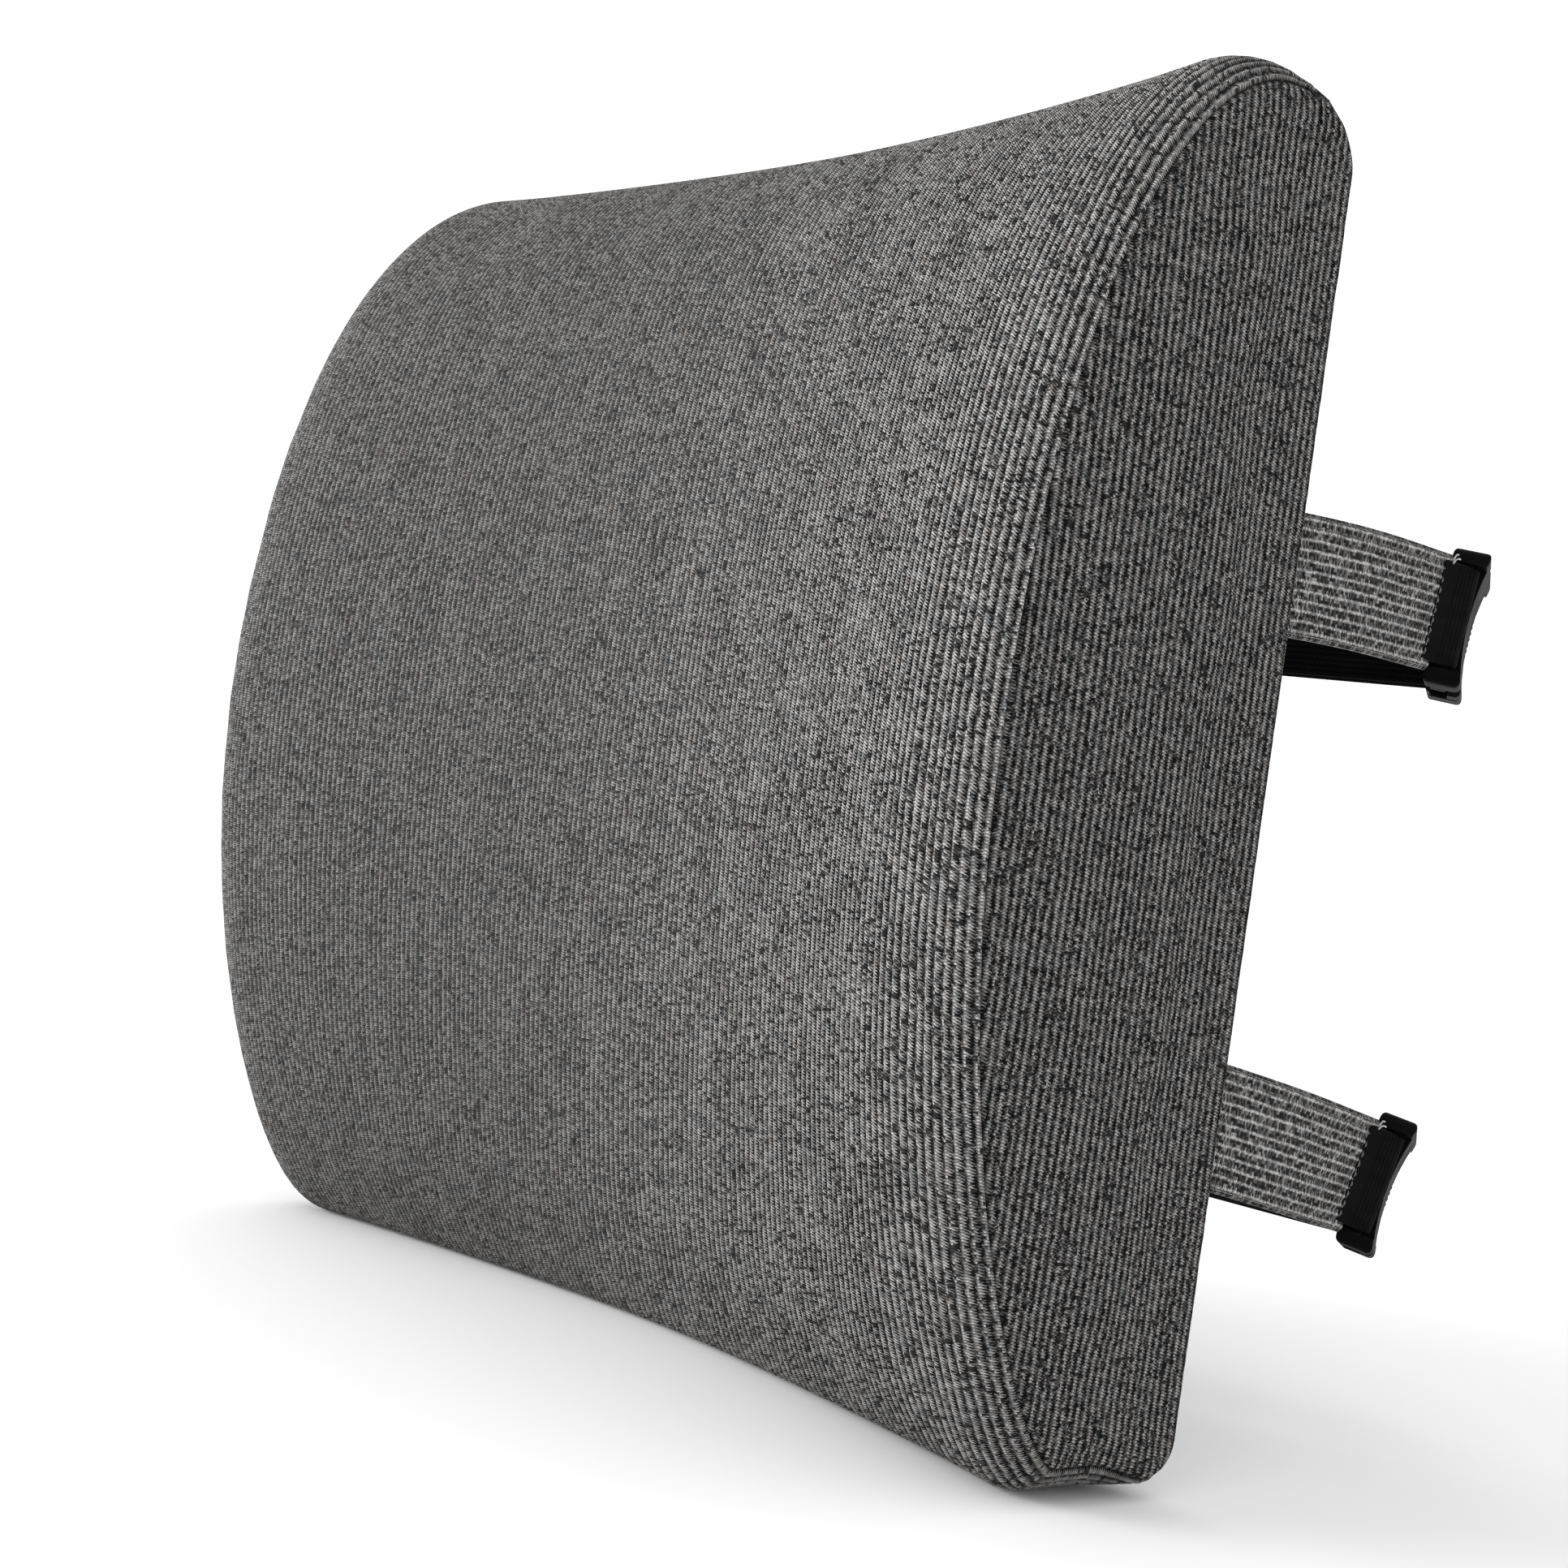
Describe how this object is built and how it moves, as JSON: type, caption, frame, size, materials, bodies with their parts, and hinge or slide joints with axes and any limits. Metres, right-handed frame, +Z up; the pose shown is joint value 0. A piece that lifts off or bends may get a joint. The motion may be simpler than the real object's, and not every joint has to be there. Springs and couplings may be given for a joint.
{
  "type": "lumbar support cushion",
  "caption": "Foam lumbar cushion with a dished, D-section body in a zipped ribbed-knit cover, held to a chair back by elastic straps with side-release buckles.",
  "frame": {"origin": "on the flat foot that the cushion stands on, midway between its two ends and 17 mm in front of its flat back face", "axes": "+Z up, +X towards the end with the buckles, -Y out of the dished front, +Y out of the flat back face towards the chair"},
  "size_m": [0.3276, 0.211, 0.325],
  "materials": {
    "foam": "matte",
    "knit_front": "matte",
    "knit_side": "matte",
    "knit_band": "matte",
    "webbing": "matte",
    "elastic": "matte",
    "zip_tape": "matte",
    "zip_teeth": "satin",
    "zip_metal": "satin",
    "buckle_plastic": "satin"
  },
  "bodies": {
    "cushion": {"foam_core": "foam", "cover_front_panel": "knit_front", "cover_side_left": "knit_side", "cover_side_right": "knit_side", "cover_back_upper": "knit_side", "cover_back_lower": "knit_side", "zip_tape_upper": "zip_tape", "zip_tape_lower": "zip_tape", "zip_teeth_upper": "zip_teeth", "zip_teeth_lower": "zip_teeth", "zip_stop_left": "zip_metal", "zip_stop_right": "zip_metal", "upper_knit_band": "knit_band", "upper_webbing_loop": "webbing", "upper_buckle_socket": "buckle_plastic", "lower_knit_band": "knit_band", "lower_webbing_loop": "webbing", "lower_buckle_socket": "buckle_plastic"},
    "zip_slider": {"zip_slider": "zip_metal"},
    "zip_pull": {"zip_pull_tab": "zip_metal"},
    "upper_clip": {"upper_buckle_clip": "buckle_plastic", "upper_elastic_strap": "elastic"},
    "upper_arm_top": {"upper_clip_arm_top": "buckle_plastic"},
    "upper_arm_bottom": {"upper_clip_arm_bottom": "buckle_plastic"},
    "upper_adjuster": {"upper_strap_adjuster": "buckle_plastic"},
    "lower_clip": {"lower_buckle_clip": "buckle_plastic", "lower_elastic_strap": "elastic"},
    "lower_arm_top": {"lower_clip_arm_top": "buckle_plastic"},
    "lower_arm_bottom": {"lower_clip_arm_bottom": "buckle_plastic"},
    "lower_adjuster": {"lower_strap_adjuster": "buckle_plastic"}
  },
  "joints": [
    {"name": "zip_slide", "type": "slide", "parent": "cushion", "child": "zip_slider", "axis": [-1, 0, 0], "range_m": [0, 0.27]},
    {"name": "zip_pull_swing", "type": "hinge", "parent": "zip_slider", "child": "zip_pull", "pos_m": [0.14, 0.0206, 0.036], "axis": [0, 0, -1], "range_deg": [0, 165]},
    {"name": "upper_clip_release", "type": "slide", "parent": "cushion", "child": "upper_clip", "axis": [-0.5075, 0.8613, 0.0226], "range_m": [0, 0.024], "deforming": ["upper_elastic_strap"]},
    {"name": "upper_arm_top_squeeze", "type": "hinge", "parent": "upper_clip", "child": "upper_arm_top", "pos_m": [0.14185, 0.1146, 0.22378], "axis": [0.8552, 0.5068, -0.1086], "range_deg": [0, 7], "stiffness_Nm_per_rad": 0.5},
    {"name": "upper_arm_bottom_squeeze", "type": "hinge", "parent": "upper_clip", "child": "upper_arm_bottom", "pos_m": [0.13958, 0.11382, 0.20231], "axis": [0.8552, 0.5068, -0.1086], "range_deg": [-7, 0], "stiffness_Nm_per_rad": 0.5},
    {"name": "upper_adjuster_slide", "type": "slide", "parent": "upper_clip", "child": "upper_adjuster", "axis": [-0.9312, -0.3644, -0.0095], "range_m": [0, 0.06]},
    {"name": "lower_clip_release", "type": "slide", "parent": "cushion", "child": "lower_clip", "axis": [-0.5075, 0.8485, -0.1496], "range_m": [0, 0.024], "deforming": ["lower_elastic_strap"]},
    {"name": "lower_arm_top_squeeze", "type": "hinge", "parent": "lower_clip", "child": "lower_arm_top", "pos_m": [0.14185, 0.11528, 0.07705], "axis": [0.8552, 0.4749, -0.2075], "range_deg": [0, 7], "stiffness_Nm_per_rad": 0.5},
    {"name": "lower_arm_bottom_squeeze", "type": "hinge", "parent": "lower_clip", "child": "lower_arm_bottom", "pos_m": [0.13958, 0.11024, 0.05617], "axis": [0.8552, 0.4749, -0.2075], "range_deg": [-7, 0], "stiffness_Nm_per_rad": 0.5},
    {"name": "lower_adjuster_slide", "type": "slide", "parent": "lower_clip", "child": "lower_adjuster", "axis": [-0.9336, -0.3529, 0.0622], "range_m": [0, 0.06]}
  ],
  "couplings": [
    {"joint": "upper_arm_bottom_squeeze", "follows": "upper_arm_top_squeeze", "ratio": -1},
    {"joint": "lower_arm_bottom_squeeze", "follows": "lower_arm_top_squeeze", "ratio": -1}
  ]
}
